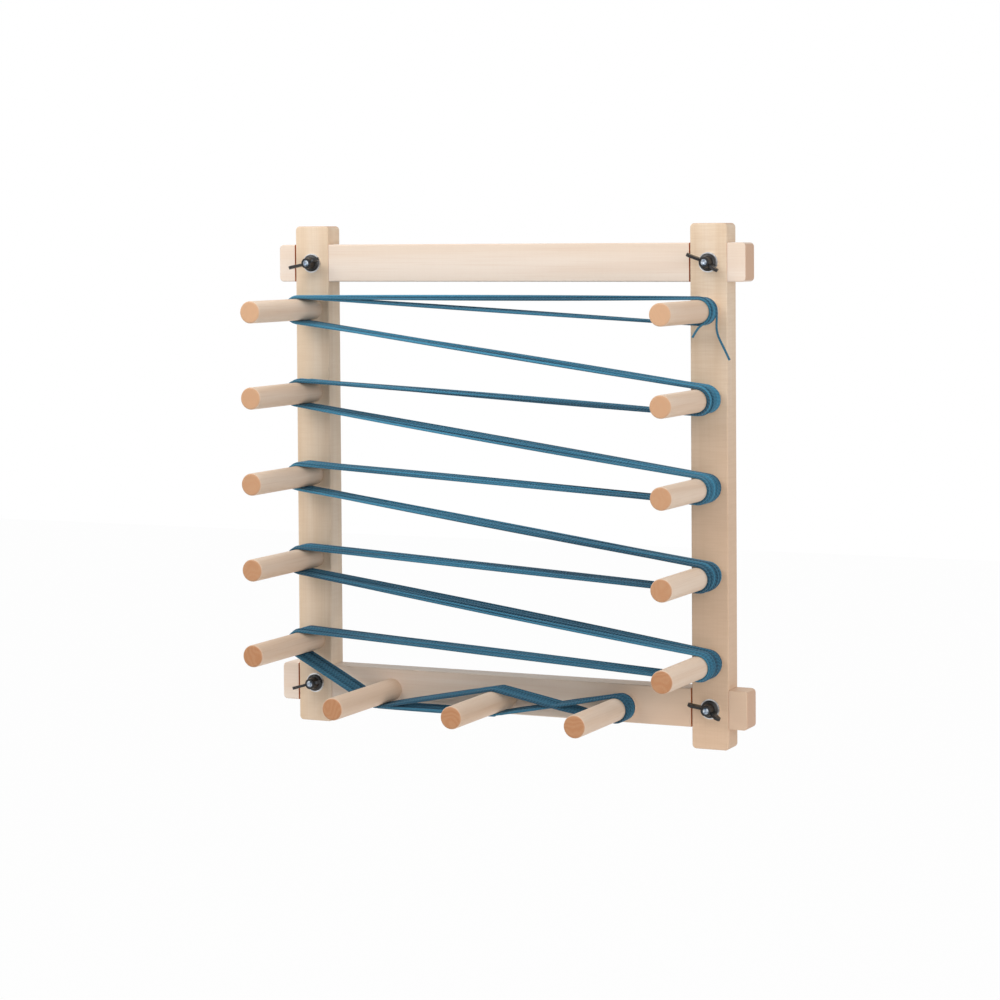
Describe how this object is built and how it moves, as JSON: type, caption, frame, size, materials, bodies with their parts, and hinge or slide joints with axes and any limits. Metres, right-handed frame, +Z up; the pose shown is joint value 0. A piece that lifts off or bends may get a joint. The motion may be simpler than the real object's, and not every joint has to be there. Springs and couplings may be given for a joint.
{
  "type": "warping board",
  "caption": "Square wooden warping board with removable pegs along its sides and bottom, halved corners held by bolts and wing nuts, and a blue warp wound on it.",
  "frame": {"origin": "middle of the top rail's back face, in the wall plane", "axes": "+X to the right along the rails, +Y into the wall, +Z up along the uprights"},
  "size_m": [0.5112, 0.1574, 0.5128],
  "materials": {
    "maple": "pale hard maple, sanded and oiled",
    "peg_maple": "turned maple dowel, orange end grain",
    "bright_zinc": "bright zinc plate",
    "black_zinc": "black, half gloss",
    "yarn": "plied cotton yarn, petrol blue"
  },
  "bodies": {
    "root": {"left_upright": "maple", "right_upright": "maple", "top_rail": "maple", "bottom_rail": "maple", "top_left_bolt": "bright_zinc", "top_right_bolt": "bright_zinc", "bottom_left_bolt": "bright_zinc", "bottom_right_bolt": "bright_zinc", "warp_yarn": "yarn", "yarn_tail_short": "yarn", "yarn_tail_long": "yarn"},
    "left_peg_1": {"left_peg_1": "peg_maple"},
    "right_peg_1": {"right_peg_1": "peg_maple"},
    "left_peg_2": {"left_peg_2": "peg_maple"},
    "right_peg_2": {"right_peg_2": "peg_maple"},
    "left_peg_3": {"left_peg_3": "peg_maple"},
    "right_peg_3": {"right_peg_3": "peg_maple"},
    "left_peg_4": {"left_peg_4": "peg_maple"},
    "right_peg_4": {"right_peg_4": "peg_maple"},
    "left_peg_5": {"left_peg_5": "peg_maple"},
    "right_peg_5": {"right_peg_5": "peg_maple"},
    "cross_peg_1": {"cross_peg_1": "peg_maple"},
    "cross_peg_2": {"cross_peg_2": "peg_maple"},
    "cross_peg_3": {"cross_peg_3": "peg_maple"},
    "top_left_washer": {"top_left_washer": "bright_zinc"},
    "top_left_wing_nut": {"top_left_wing_nut": "black_zinc"},
    "top_right_washer": {"top_right_washer": "bright_zinc"},
    "top_right_wing_nut": {"top_right_wing_nut": "black_zinc"},
    "bottom_left_washer": {"bottom_left_washer": "bright_zinc"},
    "bottom_left_wing_nut": {"bottom_left_wing_nut": "black_zinc"},
    "bottom_right_washer": {"bottom_right_washer": "bright_zinc"},
    "bottom_right_wing_nut": {"bottom_right_wing_nut": "black_zinc"}
  },
  "joints": [
    {"name": "left_peg_1_pull", "type": "slide", "parent": "root", "child": "left_peg_1", "axis": [0, -1, 0], "range_m": [0, 0.02]},
    {"name": "right_peg_1_pull", "type": "slide", "parent": "root", "child": "right_peg_1", "axis": [0, -1, 0], "range_m": [0, 0.02]},
    {"name": "left_peg_2_pull", "type": "slide", "parent": "root", "child": "left_peg_2", "axis": [0, -1, 0], "range_m": [0, 0.02]},
    {"name": "right_peg_2_pull", "type": "slide", "parent": "root", "child": "right_peg_2", "axis": [0, -1, 0], "range_m": [0, 0.02]},
    {"name": "left_peg_3_pull", "type": "slide", "parent": "root", "child": "left_peg_3", "axis": [0, -1, 0], "range_m": [0, 0.02]},
    {"name": "right_peg_3_pull", "type": "slide", "parent": "root", "child": "right_peg_3", "axis": [0, -1, 0], "range_m": [0, 0.02]},
    {"name": "left_peg_4_pull", "type": "slide", "parent": "root", "child": "left_peg_4", "axis": [0, -1, 0], "range_m": [0, 0.02]},
    {"name": "right_peg_4_pull", "type": "slide", "parent": "root", "child": "right_peg_4", "axis": [0, -1, 0], "range_m": [0, 0.02]},
    {"name": "left_peg_5_pull", "type": "slide", "parent": "root", "child": "left_peg_5", "axis": [0, -1, 0], "range_m": [0, 0.02]},
    {"name": "right_peg_5_pull", "type": "slide", "parent": "root", "child": "right_peg_5", "axis": [0, -1, 0], "range_m": [0, 0.02]},
    {"name": "cross_peg_1_pull", "type": "slide", "parent": "root", "child": "cross_peg_1", "axis": [0, -1, 0], "range_m": [0, 0.02]},
    {"name": "cross_peg_2_pull", "type": "slide", "parent": "root", "child": "cross_peg_2", "axis": [0, -1, 0], "range_m": [0, 0.02]},
    {"name": "cross_peg_3_pull", "type": "slide", "parent": "root", "child": "cross_peg_3", "axis": [0, -1, 0], "range_m": [0, 0.02]},
    {"name": "top_left_washer_slide", "type": "slide", "parent": "root", "child": "top_left_washer", "axis": [0, -1, 0], "range_m": [0, 0.0116]},
    {"name": "top_left_nut_turn", "type": "hinge", "parent": "top_left_washer", "child": "top_left_wing_nut", "pos_m": [-0.2175, -0.03, 0], "axis": [0, -1, 0], "range_deg": [0, 3240]},
    {"name": "top_right_washer_slide", "type": "slide", "parent": "root", "child": "top_right_washer", "axis": [0, -1, 0], "range_m": [0, 0.0116]},
    {"name": "top_right_nut_turn", "type": "hinge", "parent": "top_right_washer", "child": "top_right_wing_nut", "pos_m": [0.2175, -0.03, 0], "axis": [0, -1, 0], "range_deg": [0, 3240]},
    {"name": "bottom_left_washer_slide", "type": "slide", "parent": "root", "child": "bottom_left_washer", "axis": [0, -1, 0], "range_m": [0, 0.0116]},
    {"name": "bottom_left_nut_turn", "type": "hinge", "parent": "bottom_left_washer", "child": "bottom_left_wing_nut", "pos_m": [-0.2175, -0.03, -0.435], "axis": [0, -1, 0], "range_deg": [0, 3240]},
    {"name": "bottom_right_washer_slide", "type": "slide", "parent": "root", "child": "bottom_right_washer", "axis": [0, -1, 0], "range_m": [0, 0.0116]},
    {"name": "bottom_right_nut_turn", "type": "hinge", "parent": "bottom_right_washer", "child": "bottom_right_wing_nut", "pos_m": [0.2175, -0.03, -0.435], "axis": [0, -1, 0], "range_deg": [0, 3240]}
  ],
  "couplings": [
    {"joint": "top_left_washer_slide", "follows": "top_left_nut_turn", "m_per_rad": 0.00020213},
    {"joint": "top_right_washer_slide", "follows": "top_right_nut_turn", "m_per_rad": 0.00020213},
    {"joint": "bottom_left_washer_slide", "follows": "bottom_left_nut_turn", "m_per_rad": 0.00020213},
    {"joint": "bottom_right_washer_slide", "follows": "bottom_right_nut_turn", "m_per_rad": 0.00020213}
  ]
}
